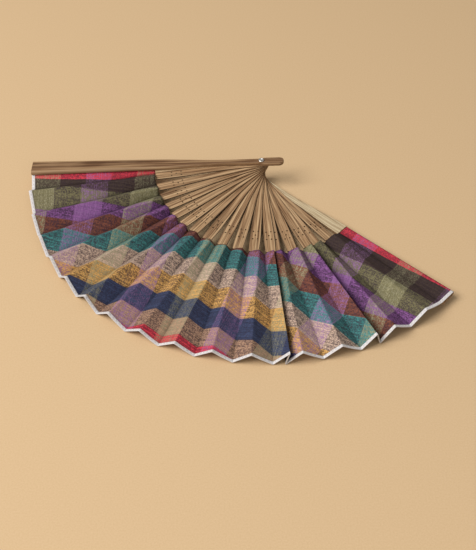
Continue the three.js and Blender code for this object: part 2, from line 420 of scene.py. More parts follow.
# The cloth's yarns
YARN = 0.52
CROSSING = 0.8
DRIFT = (-0.8, 0.8)
DRIFT_SCALE = 0.05
DRIFT_APART = 40.0
SLUB_ALONG = 0.5
SLUB_OVER = 2.0
FLECK_SCALE = 3.0
FLECK_SPAN = (0.35, 0.65)
# How much lighter or darker each makes the cloth
SLUB_SHADES = (0.8, 1.2)
YARN_SHADES = (0.78, 1.22)
CROSSING_SHADES = (1.22, 0.86)
# The painted shade along the valley folds
PAINTED_VALLEY_SHADES = (1.0, 0.3)
# How much each lifts the warp over the weft, and the share of the warp that shows for it
WEAVE_LIFT = 0.5
SLUB_LIFT = (-0.3, 0.3)
YARN_LIFT = (-0.2, 0.2)
CROSSING_LIFT = (-0.75, 0.75)
LIFT_SPAN = (-0.4, 0.65)
LIFT_SHOWS = (0.05, 0.74)
# How low a yarn lies where a gap shows beside it, and how dark the painted shade in the gaps is
GAP_HEIGHTS = (0.0, 0.5)
GAP_SHADES = (0.1, 0.8)
CLOTH_ROUGHNESS = (0.78, 0.96)
CLOTH_RELIEF = 0.2
SLUB_RELIEF = 1.2


def cloth_colours(n, u, v):
    """The plain weft and warp at a place of the flat cloth, and how far the warp may cover the weft."""
    band = n.math("DIVIDE", v, WEFT_SPAN)
    places = [0.0] + [edge / WEFT_SPAN for edge in WEFT_EDGES]
    colours = [WEFT[name] for name in WEFT_ORDER]
    weft = n.ramp(band, list(zip(places, colours)), steps=True)
    shows = [grey(WARP_SHOWS.get(name, 1.0)) for name in WEFT_ORDER]
    cover = n.ramp(band, list(zip(places, shows)), steps=True)
    stripe = 1.0 / len(WARP)
    start = WARP_CENTRE - WARP_PERIOD * stripe / 2.0
    turn = n.math("FRACT", n.math("DIVIDE", n.minus(u, start), WARP_PERIOD))
    warp = n.ramp(turn, [(stripe * i, colour) for i, colour in enumerate(WARP)], steps=True)
    return weft, warp, cover


def cloth_material():
    n = Nodes("leaf_cloth_check")
    flat = n.attribute("cloth_flat", "Vector")
    u, v, _ = n.split(flat)
    # Yarns aren't quite straight or even.
    drift_u = n.noise(flat, DRIFT_SCALE, detail=1.0)
    drift_v = n.noise(n.vector(v, u, DRIFT_APART), DRIFT_SCALE, detail=1.0)
    u = n.plus(u, n.remap(drift_u, UNIT, DRIFT))
    v = n.plus(v, n.remap(drift_v, UNIT, DRIFT))
    weft, warp, cover = cloth_colours(n, u, v)
    # Each yarn has its own shade, and thick and thin places along it.
    weft_slub = n.noise(n.stretched(u, v, SLUB_ALONG, SLUB_OVER), 1.0, detail=1.0)
    warp_slub = n.noise(n.stretched(u, v, SLUB_OVER, SLUB_ALONG), 1.0, detail=1.0)
    weft_yarn = n.yarn(v, YARN)
    warp_yarn = n.yarn(u, YARN)
    crossing = n.crossing(u, v, CROSSING)
    weft = n.shade(weft, n.remap(weft_slub, NOISE_SPAN, SLUB_SHADES))
    weft = n.shade(weft, n.remap(weft_yarn, UNIT, YARN_SHADES))
    weft = n.shade(weft, n.remap(crossing, UNIT, CROSSING_SHADES))
    warp = n.shade(warp, n.remap(warp_slub, NOISE_SPAN, SLUB_SHADES))
    warp = n.shade(warp, n.remap(warp_yarn, UNIT, YARN_SHADES))
    # Where a warp yarn passes over a weft yarn, its colour shows.
    wave_u = n.wave(u, YARN)
    wave_v = n.wave(v, YARN)
    over = n.times(n.times(wave_u, wave_v), WEAVE_LIFT)
    over = n.plus(over, n.remap(warp_slub, NOISE_SPAN, SLUB_LIFT))
    over = n.minus(over, n.remap(weft_slub, NOISE_SPAN, SLUB_LIFT))
    over = n.plus(over, n.remap(warp_yarn, UNIT, YARN_LIFT))
    over = n.minus(over, n.remap(weft_yarn, UNIT, YARN_LIFT))
    over = n.plus(over, n.remap(crossing, UNIT, CROSSING_LIFT))
    shows_warp = n.times(n.remap(over, LIFT_SPAN, LIFT_SHOWS), cover)
    colour = n.mix(shows_warp, weft, warp)
    # Painted shade lies in the gaps beside the yarns, deeper in some places than in others.
    warp_height = n.times(shows_warp, n.math("ABSOLUTE", wave_u))
    weft_height = n.times(n.minus(1.0, shows_warp), n.math("ABSOLUTE", wave_v))
    height = n.plus(warp_height, weft_height)
    fleck = n.noise(flat, FLECK_SCALE, detail=1.0)
    gap = n.remap(height, GAP_HEIGHTS, (1.0, 0.0))
    gap = n.times(gap, n.remap(fleck, FLECK_SPAN, GAP_SHADES))
    colour = n.mix(gap, colour, YARN_GAP_SHADE)
    # Painted shade along the valley folds darkens the colour.
    valley = n.attribute("cloth_painted_valley_shade", "Fac")
    n.set(
        Base_Color=n.shade(colour, n.remap(valley, UNIT, PAINTED_VALLEY_SHADES)),
        Roughness=n.remap(weft_slub, WIDE_SPAN, CLOTH_ROUGHNESS),
        Specular_IOR_Level=0.1,
    )
    slubs = n.times(n.plus(weft_slub, warp_slub), SLUB_RELIEF)
    n.bump(n.plus(height, slubs), CLOTH_RELIEF, strength=0.8)
    return n.material


# The tape round the leaf's edge, and the row of stitches along its middle
TAPE_TONES = [(0.3, rgb(188, 183, 184)), (0.6, rgb(236, 233, 233))]
SOIL_TONE = rgb(186, 172, 158)
SEAM_TONE = rgb(158, 152, 154)
STITCH_TONE = rgb(240, 238, 236)
THREAD_SCALE = 2.2
SOIL_SCALE = 0.06
STITCH = 1.5
STITCH_LINE = 190.5
STITCH_BLUR = (0.12, 0.3)
STITCH_ENDS = (-0.2, 0.3)
SEAM_SHARE = 0.35
SOIL_SPAN = (0.5, 0.8)
SOIL_SHARES = (0.0, 0.35)
TAPE_RIB = 0.5
TAPE_ROUGHNESS = (0.75, 0.95)
TAPE_RELIEF = 0.15
# How high each stands, or how deep it lies, beside the threads
RIB_RELIEF = 0.2
STITCH_RELIEF = 1.2
SEAM_RELIEF = 0.8


def hem_material():
    n = Nodes("leaf_hem_tape")
    flat = n.attribute("cloth_flat", "Vector")
    u, v, _ = n.split(flat)
    reach = n.attribute("cloth_reach", "Fac")
    around = n.times(n.math("ARCTAN2", v, u), TIP_RADIUS)
    thread = n.noise(flat, THREAD_SCALE, roughness=0.6)
    soil = n.noise(flat, SOIL_SCALE, detail=3.0)
    colour = n.ramp(thread, TAPE_TONES)
    colour = n.mix(n.remap(soil, SOIL_SPAN, SOIL_SHARES), colour, SOIL_TONE)
    off_line = n.math("ABSOLUTE", n.minus(reach, STITCH_LINE))
    on_line = n.remap(off_line, STITCH_BLUR, (1.0, 0.0))
    stitch = n.times(on_line, n.remap(n.wave(around, STITCH), STITCH_ENDS))
    colour = n.mix(n.times(on_line, SEAM_SHARE), colour, SEAM_TONE)
    colour = n.mix(stitch, colour, STITCH_TONE)
    n.set(
        Base_Color=colour,
        Roughness=n.remap(thread, WIDE_SPAN, TAPE_ROUGHNESS),
        Specular_IOR_Level=0.25,
        Sheen_Weight=0.15,
    )
    ribs = n.wave(n.plus(around, reach), TAPE_RIB)
    relief = n.plus(thread, n.times(ribs, RIB_RELIEF))
    relief = n.plus(relief, n.times(stitch, STITCH_RELIEF))
    relief = n.minus(relief, n.times(on_line, SEAM_RELIEF))
    n.bump(relief, TAPE_RELIEF, strength=0.7)
    return n.material


# Bamboo: dark, mid and light shades, the tone painted along the edges (painted shade between the ribs'
# blades, a painted highlight with rubbed wear on the guards' bevels), and the share of the width where
# it starts
RIB_LOOK = {
    "shades": (rgb(98, 69, 43), rgb(162, 125, 89), rgb(207, 174, 133)),
    # The ribs' edges take painted shade, where shadow falls between the blades.
    "painted_edge_tone": rgb(52, 36, 24),
    "edge_from": 1.0,
    "roughness": (0.42, 0.62),
}
GUARD_LOOK = {
    # The guards' edges are paler: a painted highlight on the bevels, with rubbed wear.
    "shades": (rgb(84, 54, 32), rgb(117, 82, 53), rgb(168, 135, 99)),
    "painted_edge_tone": rgb(168, 135, 99),
    "edge_from": 0.78,
    "roughness": (0.36, 0.56),
}
PALE_TONES = [
    (0.32, rgb(226, 210, 176)),
    (0.5, rgb(206, 186, 150)),
    (0.68, rgb(150, 122, 88)),
]
# Where the streaks pass from dark to mid to light, and how strongly fibres and clouds show on them
STREAK_STOPS = (0.38, 0.5, 0.62)
DARK_FIBRES = {"span": (0.52, 0.66), "result": (0.0, 0.75)}
LIGHT_FIBRES = {"span": (0.44, 0.32), "result": (0.0, 0.6)}
LIGHT_CLOUDS = {"span": (0.45, 0.75), "result": (0.0, 0.4)}
PALE_STREAKS = {"span": (0.52, 0.66), "result": (0.0, 0.5)}
GRAIN_ROUGHNESS = 0.6
PALE_BLUR = 0.08
EDGE_BLUR = 0.12
EDGE_STRENGTH = 0.6
EDGE_UNEVEN = 0.3
NECK_EDGE_SHARE = 0.15
FIBRE_RELIEF = 0.6
BAMBOO_RELIEF = 0.15


def rib_half_width(n, x):
    return n.remap(x, (NECK_END, BLADE_FULL), (NECK_HALF, BLADE_HALF), smooth=True)


def guard_half_width(n, x):
    bare_widths = (NECK_HALF, GUARD_LEAF_HALF)
    bare = n.remap(x, (GUARD_NECK_END, LEAF_INNER), bare_widths, smooth=True)
    flare = (0.0, GUARD_TIP_HALF - GUARD_LEAF_HALF)
    return n.plus(bare, n.remap(x, (LEAF_INNER, TIP_RADIUS), flare))


def stick_place(n, angle):
    """Where the surface is in a stick's own frame, in millimetres."""
    mapping = n.node("ShaderNodeMapping", vector_type="TEXTURE")
    n.put(mapping.inputs["Vector"], n.place())
    mapping.inputs["Location"].default_value = PIVOT * MM
    turn = Matrix(LEAN.tolist()) @ Matrix.Rotation(math.radians(angle), 3, "Z")
    mapping.inputs["Rotation"].default_value = turn.to_euler()
    return [n.times(metres, 1.0 / MM) for metres in n.split(mapping.outputs[0])]


def bamboo_material(name, angle, seed, look, half_width, pale=None):
    """Split bamboo: straight fibres along the stick, paler clouds, and a tone painted along the edges:
    painted shade on the ribs, a painted highlight with rubbed wear on the guards.

    half_width(n, x) gives half the stick's width along it.
    pale is (height, 1 or -1): the face above or below that height shows the paler inside."""
    dark, mid, light = look["shades"]
    n = Nodes(name)
    x, y, z = stick_place(n, angle)

    def grain(along, over, shift, detail):
        depth = n.plus(n.times(z, over), seed + shift)
        place = n.vector(n.times(x, along), n.times(y, over), depth)
        return n.noise(place, 1.0, detail, GRAIN_ROUGHNESS)

    streak = grain(along=0.012, over=0.75, shift=0.0, detail=3.0)
    fibre = grain(along=0.03, over=2.6, shift=3.0, detail=2.0)
    cloud = grain(along=0.03, over=0.12, shift=9.0, detail=2.0)
    colour = n.ramp(streak, list(zip(STREAK_STOPS, look["shades"])))
    colour = n.mix(n.remap(fibre, **DARK_FIBRES), colour, dark)
    colour = n.mix(n.remap(fibre, **LIGHT_FIBRES), colour, light)
    colour = n.mix(n.remap(cloud, **LIGHT_CLOUDS), colour, light)
    # Along the edges: painted shade on the ribs, a painted highlight with rubbed wear on the guards
    edge = n.math("DIVIDE", n.math("ABSOLUTE", y), half_width(n, x))
    edge = n.plus(edge, n.times(cloud, EDGE_UNEVEN))
    edge_span = (look["edge_from"], look["edge_from"] + EDGE_BLUR)
    edge = n.remap(edge, edge_span, (0.0, EDGE_STRENGTH))
    edge = n.times(edge, n.remap(x, (NECK_END, BLADE_FULL), (NECK_EDGE_SHARE, 1.0)))
    colour = n.mix(edge, colour, look["painted_edge_tone"])
    if pale:
        height, sign = pale
        inside = n.remap(z, (height - PALE_BLUR * sign, height + PALE_BLUR * sign))
        lines = n.ramp(fibre, PALE_TONES)
        lines = n.mix(n.remap(streak, **PALE_STREAKS), lines, mid)
        colour = n.mix(inside, colour, lines)
    n.set(
        Base_Color=colour,
        Roughness=n.remap(fibre, WIDE_SPAN, look["roughness"]),
        Specular_IOR_Level=0.4,
    )
    n.bump(n.plus(streak, n.times(fibre, FIBRE_RELIEF)), BAMBOO_RELIEF, strength=0.6)
    return n.material


# The sides of a rib: bare near the rivet, darkened further out with painted shade
BARE_TONES = [(0.35, rgb(122, 92, 64)), (0.65, rgb(172, 140, 106))]
SIDE_PAINTED_SHADE_TONES = [(0.35, rgb(46, 31, 20)), (0.65, rgb(88, 64, 43))]
SIDE_PAINTED_SHADE_SPAN = (18.0, 56.0)
SIDE_PAINTED_SHADE_UNEVEN = 12.0
SIDE_STREAK_ALONG = 0.06
SIDE_STREAK_OVER = 2.6
SIDE_GRAIN_SCALE = 1500.0
SIDE_SHADES = (0.85, 1.15)
SIDE_ROUGHNESS = (0.5, 0.75)
SIDE_RELIEF = 0.1


def painted_shade_side_material():
    """The sides and under face of a rib, darkened with painted shade from the neck outwards."""
    n = Nodes("bamboo_rib_side_painted_shade")
    where = n.place()
    offset = n.measure("SUBTRACT", where, PIVOT * MM, "Vector")
    reach = n.times(n.measure("LENGTH", offset), 1.0 / MM)
    height = n.times(n.measure("DOT_PRODUCT", offset, AXIS), 1.0 / MM)
    along = n.stretched(reach, height, SIDE_STREAK_ALONG, SIDE_STREAK_OVER)
    streak = n.noise(along, 1.0, 3.0, GRAIN_ROUGHNESS)
    grain = n.noise(where, SIDE_GRAIN_SCALE, roughness=GRAIN_ROUGHNESS)
    # Painted shade deepens from the neck outwards.
    painted_side_shade = n.remap(n.plus(reach, n.times(streak, SIDE_PAINTED_SHADE_UNEVEN)), SIDE_PAINTED_SHADE_SPAN)
    colour = n.mix(painted_side_shade, n.ramp(streak, BARE_TONES), n.ramp(streak, SIDE_PAINTED_SHADE_TONES))
    n.set(
        Base_Color=n.shade(colour, n.remap(grain, NOISE_SPAN, SIDE_SHADES)),
        Roughness=n.remap(grain, WIDE_SPAN, SIDE_ROUGHNESS),
        Specular_IOR_Level=0.3,
    )
    n.bump(streak, SIDE_RELIEF, strength=0.5)
    return n.material


# The rivet's metal
METAL_TONES = [(0.3, rgb(214, 212, 208)), (0.7, rgb(246, 244, 240))]
SMEAR_SCALE = 900.0
SMEAR_SPAN = (0.25, 0.75)
METAL_ROUGHNESS = (0.3, 0.5)
METAL_GRAIN_SCALE = 5200.0
METAL_RELIEF = 0.02


def metal_material():
    n = Nodes("rivet_plated_metal")
    where = n.place()
    smear = n.noise(where, SMEAR_SCALE, 3.0, GRAIN_ROUGHNESS)
    n.set(
        Base_Color=n.ramp(smear, METAL_TONES),
        Metallic=1.0,
        Roughness=n.remap(smear, SMEAR_SPAN, METAL_ROUGHNESS),
    )
    n.bump(n.noise(where, METAL_GRAIN_SCALE), METAL_RELIEF, strength=0.4)
    return n.material


# The plain floor
FLOOR_TONES = [(0.3, rgb(216, 184, 142)), (0.7, rgb(222, 191, 150))]
FLOOR_SPECK_SCALE = 900.0


def floor_material():
    n = Nodes("stage_floor")
    speck = n.noise(n.place(), FLOOR_SPECK_SCALE)
    n.set(Base_Color=n.ramp(speck, FLOOR_TONES), Roughness=0.9, Specular_IOR_Level=0.2)
    return n.material


# Small helpers for pieces


def link_piece(name, mesh, materials, smooth=True):
    for material in materials:
        mesh.materials.append(material)
    mesh.polygons.foreach_set("use_smooth", [smooth] * len(mesh.polygons))
    made = bpy.data.objects.new(name, mesh)
    bpy.context.scene.collection.objects.link(made)
    return made


def piece(name, verts, faces, materials, smooth=True):
    mesh = bpy.data.meshes.new(name)
    mesh.from_pydata([tuple(p) for p in verts], [], faces)
    mesh.update()
    return link_piece(name, mesh, materials, smooth)


def point_attribute(obj, name, kind, values):
    attribute = obj.data.attributes.new(name, kind, "POINT")
    key = "vector" if kind == "FLOAT_VECTOR" else "value"
    attribute.data.foreach_set(key, np.asarray(values).ravel())


def press_flat(obj):
    """Gives the piece a mesh of its own."""
    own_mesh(obj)


# The leaf's lines: rows are counted outwards from the blades, and each array here has a value per row.
HEM_ROWS = [HEM_FULL, *HEM_BODY_ROWS, HEM_ROUNDS, HEM_ROUND_ROW, TIP_RADIUS]
ROWS = np.concatenate([np.linspace(LEAF_INNER, HEM_STARTS, PLAIN_ROWS), HEM_ROWS])
ROW_COUNT = len(ROWS)
HEM_CORNERS = [HEM_STARTS, HEM_FULL, HEM_ROUNDS, TIP_RADIUS]
HEM_RISES = np.interp(ROWS, HEM_CORNERS, [0.0, HEM_RISE, HEM_RISE, 0.0])
THIN = CLOTH_THICKNESS / HEM_THICKNESS
THICK_SHARE = np.interp(ROWS, HEM_CORNERS, [THIN, 1.0, 1.0, THIN])
HALF_WIDTHS = ROWS * math.tan(math.radians(PANEL_ANGLE / 2.0))
GUARD_HALVES = np.interp(ROWS, [LEAF_INNER, TIP_RADIUS], [GUARD_LEAF_HALF, GUARD_TIP_HALF])
FREE_WIDTHS = GUARD_HALVES - END_INSET


def run_out(length):
    """From 0 at the blades to 1 at a length further out, one value per row."""
    return smoothstep((ROWS - LEAF_INNER) / length)


PLEAT_SHARES = PLEAT_START_SHARE + (1.0 - PLEAT_START_SHARE) * run_out(PLEAT_RUN)
WIDENING = INNER_WIDENING * (1.0 - run_out(WIDENING_RUN))
CROWN = RIB_CROWN * (1.0 - run_out(CROWN_RUN))
VALLEY_SHADE_STRENGTH = VALLEY_SHADE_HEM_SHARE + (1.0 - VALLEY_SHADE_HEM_SHARE) * (1.0 - run_out(VALLEY_SHADE_RUN))


def panel_reach(gap):
    """How far a rib's panel reaches from the rib's middle line, towards a gap of this angle."""
    return HALF_WIDTHS * (1.0 + WIDENING * (gap >= TIGHT_ANGLE))


def across(k, widths):
    """The cloth's upper face on member k, one point per row, widths away from its middle line."""
    if k == 0 or k == LAST:
        height = UPPER_FACE + END_LIFT if k == 0 else LOWER_FACE - END_SINK
        local = np.stack([ROWS, widths, np.full(ROW_COUNT, height)], 1)
    else:
        spread = (GAPS[k - 1] + GAPS[k]) / 2.0 / (2.0 * PANEL_ANGLE)
        steep = min(math.acos(min(1.0, spread)), math.radians(STEEPEST))
        tilt = steep * PLEAT_SHARES
        c, s = np.cos(tilt), np.sin(tilt)
        sideways = widths * c - CLOTH_LIFT * s
        height = widths * s + CLOTH_LIFT * c + level(k)
        local = np.stack([ROWS, sideways, height], 1)
    return turned(local, ANGLES[k])


# EDGES holds the flat width from each member's middle line to its panel's two edges.
# LINES are the edges' places: the cloth's two free ends, and between them two folds for every gap.
# FLATS are the edges' angles on the flat cloth.
EDGES = [(FREE_WIDTHS, FIRST_FOLD_SHARE * HALF_WIDTHS)]
for k in range(1, LAST):
    EDGES.append((panel_reach(GAPS[k - 1]), panel_reach(GAPS[k])))
EDGES.append((HALF_WIDTHS, FREE_WIDTHS))
LINES = []
FLATS = []
for k, (before, after) in enumerate(EDGES):
    LINES += [across(k, -before), across(k, after)]
    middle = FLAT_START + FLAT_STEP * k
    if k == 0:
        middle = middle + FLAT_STEP / 2.0 * (1.0 - FIRST_FOLD_SHARE)
    # A step holds a rib's panel and a fold, so half a panel takes a quarter of it.
    turn_per_width = FLAT_STEP / 4.0 / HALF_WIDTHS
    FLATS += [middle - before * turn_per_width, middle + after * turn_per_width]
PANELS = len(LINES) - 1


def panel_name(m):
    k = m // 2
    if m % 2:
        return f"leaf_fold_panel_{k + 1:02d}"
    if k == 0:
        return "leaf_end_panel_upper"
    return "leaf_end_panel_lower" if k == LAST else f"leaf_rib_panel_{k:02d}"


def between(first, second, shares):
    """Points on the straight way from first to second, by each column's share."""
    return first[:, None] * (1.0 - shares)[:, :, None] + second[:, None] * shares[:, :, None]


def crease(i, share):
    """The rounded fold along line i: share is 0 on the panel before it and 1 on the one after."""
    tip = LINES[i]
    before = tip + CREASE_REACH * unit(LINES[i - 1] - tip)
    after = tip + CREASE_REACH * unit(LINES[i + 1] - tip)
    way = 1.0 - share
    return before * way**2 + tip * 2.0 * share * way + after * share**2


def panel_columns(m):
    """The panel between lines m and m + 1: its points, and each point's share of the width."""
    start, end = LINES[m], LINES[m + 1]
    chord = end - start
    edge = CREASE_REACH / np.linalg.norm(chord, axis=1)
    columns = []
    if m > 0:
        for i in range(CREASE_STEPS):
            t = i / CREASE_STEPS
            columns.append((crease(m, 0.5 + 0.5 * t), edge * t))
    low = edge if m > 0 else np.zeros(ROW_COUNT)
    high = 1.0 - edge if m < PANELS - 1 else np.ones(ROW_COUNT)
    for i in range(PANEL_STEPS + 1):
        share = low + (high - low) * i / PANEL_STEPS
        columns.append((start + chord * share[:, None], share))
    if m < PANELS - 1:
        for i in range(1, CREASE_STEPS + 1):
            t = i / CREASE_STEPS
            columns.append((crease(m + 1, 0.5 * t), 1.0 - edge * (1.0 - t)))
    points = np.stack([c for c, _ in columns], 1)
    shares = np.stack([s for _, s in columns], 1)
    return points, shares


def grid_normals(points):
    along = np.gradient(points, axis=0)
    over = np.gradient(points, axis=1)
    return unit(np.cross(along, over))


def waves(m, shares, size):
    """Soft unevenness of a panel, none at its creases."""
    out = np.zeros_like(shares)
    for j, i in np.ndindex(shares.shape):
        place = (ROWS[j] / WAVE_LENGTH, WAVE_ACROSS * shares[j, i], WAVE_NEXT_PANEL * m)
        out[j, i] = noise.noise(Vector(place)) * math.sin(math.pi * shares[j, i])
    return out * size


def flat_places(m, shares):
    """Where each point of a panel lies on the flat cloth."""
    angle = FLATS[m][:, None] * (1.0 - shares) + FLATS[m + 1][:, None] * shares
    askew = smoothstep((angle - ASKEW_FROM) / (ASKEW_FULL - ASKEW_FROM))
    angle = np.radians(angle - ASKEW_TURN * askew)
    reach = ROWS[:, None] + ASKEW_SLIP * askew
    return np.stack([-reach * np.cos(angle), reach * np.sin(angle), np.zeros_like(angle)], 2)


def painted_valley_shade(m, shares):
    """How much painted shade each point takes from the valley fold beside it: up to 1 on the valley
    line, 0 well away from it.
    """
    if m == 0:
        return np.zeros_like(shares)
    widths = np.linalg.norm(LINES[m + 1] - LINES[m], axis=1)[:, None]
    away = widths * (1.0 - shares if m % 2 else shares)
    # Beside a caught or shut fold the painted shade is wide, standing for the shadow there.
    if GAPS[(m - 1) // 2] < TIGHT_ANGLE:
        return np.exp(-((away / CAUGHT_SHADOW_REACH) ** 2))
    return np.exp(-away / VALLEY_SHADE_REACH) * VALLEY_SHADE_STRENGTH[:, None]


CLOTH = cloth_material()
HEM = hem_material()


def panel_piece(m, points, shares):
    """A panel's piece from its upper face, in the fan's frame."""
    columns = points.shape[1]
    index = np.arange(ROW_COUNT * columns).reshape(ROW_COUNT, columns).tolist()
    faces = []
    slots = []
    for j in range(ROW_COUNT - 1):
        inner, outer = index[j], index[j + 1]
        for i in range(columns - 1):
            faces.append((inner[i], outer[i], outer[i + 1], inner[i + 1]))
            slots.append(1 if ROWS[j] >= HEM_STARTS else 0)
    verts = to_row(points.reshape(-1, 3))
    made = piece("cloth_" + panel_name(m), verts, faces, [CLOTH, HEM])
    made.data.polygons.foreach_set("material_index", slots)
    point_attribute(made, "cloth_flat", "FLOAT_VECTOR", flat_places(m, shares))
    point_attribute(made, "cloth_painted_valley_shade", "FLOAT", painted_valley_shade(m, shares))
    point_attribute(made, "cloth_reach", "FLOAT", np.repeat(ROWS, columns))
    group = made.vertex_groups.new(name="thickness")
    at_guard = m in (0, PANELS - 1)
    for j in range(ROW_COUNT):
        share = THIN if at_guard else THICK_SHARE[j]
        group.add(index[j], float(share), "REPLACE")
    return made


def thicken(obj, offset):
    solid = obj.modifiers.new("thickness", "SOLIDIFY")
    solid.thickness = HEM_THICKNESS * MM
    solid.offset = offset
    solid.vertex_group = "thickness"


def fold_tree():
    """Joins a fold panel's two edges to the panels beside it, whatever their pose."""
    tree = bpy.data.node_groups.new("fold_between_panels", "GeometryNodeTree")
    face = tree.interface
    face.new_socket("Geometry", in_out="INPUT", socket_type="NodeSocketGeometry")
    for name in ("First", "Second", "Before", "Carrier"):
        face.new_socket(name, in_out="INPUT", socket_type="NodeSocketObject")
    face.new_socket("Gap", in_out="INPUT", socket_type="NodeSocketFloat")
    face.new_socket("Geometry", in_out="OUTPUT", socket_type="NodeSocketGeometry")
    nodes, link = tree.nodes, tree.links.new
    given = nodes.new("NodeGroupInput")
    result = nodes.new("NodeGroupOutput")

    def stored(name, kind):
        made = nodes.new("GeometryNodeInputNamedAttribute")
        made.data_type = kind
        made.inputs["Name"].default_value = name
        return made.outputs["Attribute"]

    def seen(name):
        made = nodes.new("GeometryNodeObjectInfo")
        made.transform_space = "RELATIVE"
        link(given.outputs[name], made.inputs["Object"])
        return made.outputs

    def combine(kind, operation):
        made = nodes.new(kind)
        made.operation = operation
        return made

    # Where the fold's two edges are now: the nearest columns of the panels beside it
    edges = []
    for name in ("First", "Second"):
        sample = nodes.new("GeometryNodeSampleIndex")
        sample.data_type = "FLOAT_VECTOR"
        sample.domain = "POINT"
        link(seen(name)["Geometry"], sample.inputs["Geometry"])
        link(nodes.new("GeometryNodeInputPosition").outputs[0], sample.inputs["Value"])
        link(stored("fold_" + name.lower(), "INT"), sample.inputs["Index"])
        edges.append(sample.outputs["Value"])
    # How far the two members have turned together, from 0 at rest to 1 with the fan shut
    turns = {}
    apart = combine("ShaderNodeVectorMath", "DISTANCE")
    for i, name in enumerate(("Before", "Carrier")):
        turns[name] = seen(name)["Rotation"]
        pointer = nodes.new("FunctionNodeRotateVector")
        pointer.inputs["Vector"].default_value = (1.0, 0.0, 0.0)
        link(turns[name], pointer.inputs["Rotation"])
        link(pointer.outputs[0], apart.inputs[i])
    shut = combine("ShaderNodeMath", "DIVIDE")
    link(apart.outputs["Value"], shut.inputs[0])
    link(given.outputs["Gap"], shut.inputs[1])
    still_open = combine("ShaderNodeMath", "SUBTRACT")
    still_open.use_clamp = True
    still_open.inputs[0].default_value = 1.0
    link(shut.outputs[0], still_open.inputs[1])
    # The straight way between the edges, and what is left of the fold's own shape on top of it
    straight = nodes.new("ShaderNodeMix")
    straight.data_type = "VECTOR"
    link(stored("fold_share", "FLOAT"), straight.inputs[0])
    # A mix of vectors takes them in its fifth and sixth sockets.
    link(edges[0], straight.inputs[4])
    link(edges[1], straight.inputs[5])
    turn = nodes.new("FunctionNodeRotateVector")
    link(stored("fold_offset", "FLOAT_VECTOR"), turn.inputs["Vector"])
    link(turns["Carrier"], turn.inputs["Rotation"])
    bulge = combine("ShaderNodeVectorMath", "SCALE")
    link(turn.outputs[0], bulge.inputs[0])
    link(still_open.outputs[0], bulge.inputs["Scale"])
    total = combine("ShaderNodeVectorMath", "ADD")
    link(straight.outputs[1], total.inputs[0])
    link(bulge.outputs[0], total.inputs[1])
    place = nodes.new("GeometryNodeSetPosition")
    link(given.outputs["Geometry"], place.inputs["Geometry"])
    link(total.outputs[0], place.inputs["Position"])
    link(place.outputs["Geometry"], result.inputs[0])
    return tree


FOLD_TREE = fold_tree()
SOCKETS = {s.name: s.identifier for s in FOLD_TREE.interface.items_tree if s.in_out == "INPUT"}

# The leaf's pieces, by panel number: even on the sticks, odd for the folds between them
panels = {}
panel_points = {}


def stick_panel(m):
    """The panel glued to a rib or a guard."""
    k = m // 2
    on_rib = 0 < k < LAST
    points, shares = panel_columns(m)
    if on_rib:
        lift = HEM_RISES[:, None] + waves(m, shares, RIB_WAVE)
        lift = lift + CROWN[:, None] * np.sin(math.pi * shares)
        points = points + grid_normals(points) * lift[:, :, None]
    panel_points[m] = points
    made = panel_piece(m, points, shares)
    thicken(made, -1.0)
    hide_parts(panel_name(m))
    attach(made, member_name(k))
    if on_rib:
        press_flat(made)
    return made


def fold_shape(m):
    """A fold's points, their shares of its width, and how far they lie off the straight way across."""
    plain, shares = panel_columns(m)
    offset = plain - between(plain[:, 0], plain[:, -1], shares)
    offset = offset - FOLD_SAG * np.sin(math.pi * shares)[:, :, None] * UP
    points = between(panel_points[m - 1][:, -1], panel_points[m + 1][:, 0], shares) + offset
    ripple = waves(m, shares, FOLD_WAVE)[:, :, None] * grid_normals(points)
    return points + ripple, shares, offset + ripple


def fold_panel(m):
    """The panel that folds between members k and k + 1."""
    k = m // 2
    points, shares, offset = fold_shape(m)
    made = panel_piece(m, points, shares)
    rows = np.repeat(np.arange(ROW_COUNT), points.shape[1])
    before = panel_points[m - 1].shape[1]
    after = panel_points[m + 1].shape[1]
    point_attribute(made, "fold_first", "INT", rows * before + before - 1)
    point_attribute(made, "fold_second", "INT", rows * after)
    point_attribute(made, "fold_share", "FLOAT", shares)
    point_attribute(made, "fold_offset", "FLOAT_VECTOR", (offset @ LEAN.T) * MM)
    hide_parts(panel_name(m))
    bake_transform(made)
    join = made.modifiers.new("fold", "NODES")
    join.node_group = FOLD_TREE
    join[SOCKETS["First"]] = panels[m - 1]
    join[SOCKETS["Second"]] = panels[m + 1]
    join[SOCKETS["Before"]] = frame["bodies"][member_name(k)]
    join[SOCKETS["Carrier"]] = frame["bodies"][member_name(k + 1)]
    join[SOCKETS["Gap"]] = math.radians(GAPS[k])
    # A fold turns over as the fan shuts, so its thickness is shared between both faces.
    thicken(made, 0.0)
    return made


for m in range(0, PANELS, 2):
    panels[m] = stick_panel(m)
for m in range(1, PANELS, 2):
    panels[m] = fold_panel(m)


# The sticks

# A rib is a blade and a tongue, cut apart just short of the leaf.
TONGUE_SHOWS = 0.15
RIB_BEVEL = (0.14, 2)
GUARD_BEVEL = (0.3, 3)
SHARP_ANGLE = 35.0
# Faces that look up at least this much take the material of the upper face.
UPPER_FACING = 0.7
WELD = 0.001
RIB_SEED = 17.3
GUARD_SEEDS = {0: 5.1, LAST: 59.1}
PALE_DEPTH = 0.15


def stick_mesh(node):
    """A CAD stick's shape, with its corners joined up."""
    bm = bmesh.new()
    bm.from_mesh(frame["nodes"][node].data)
    bmesh.ops.remove_doubles(bm, verts=bm.verts, dist=WELD * MM)
    return bm


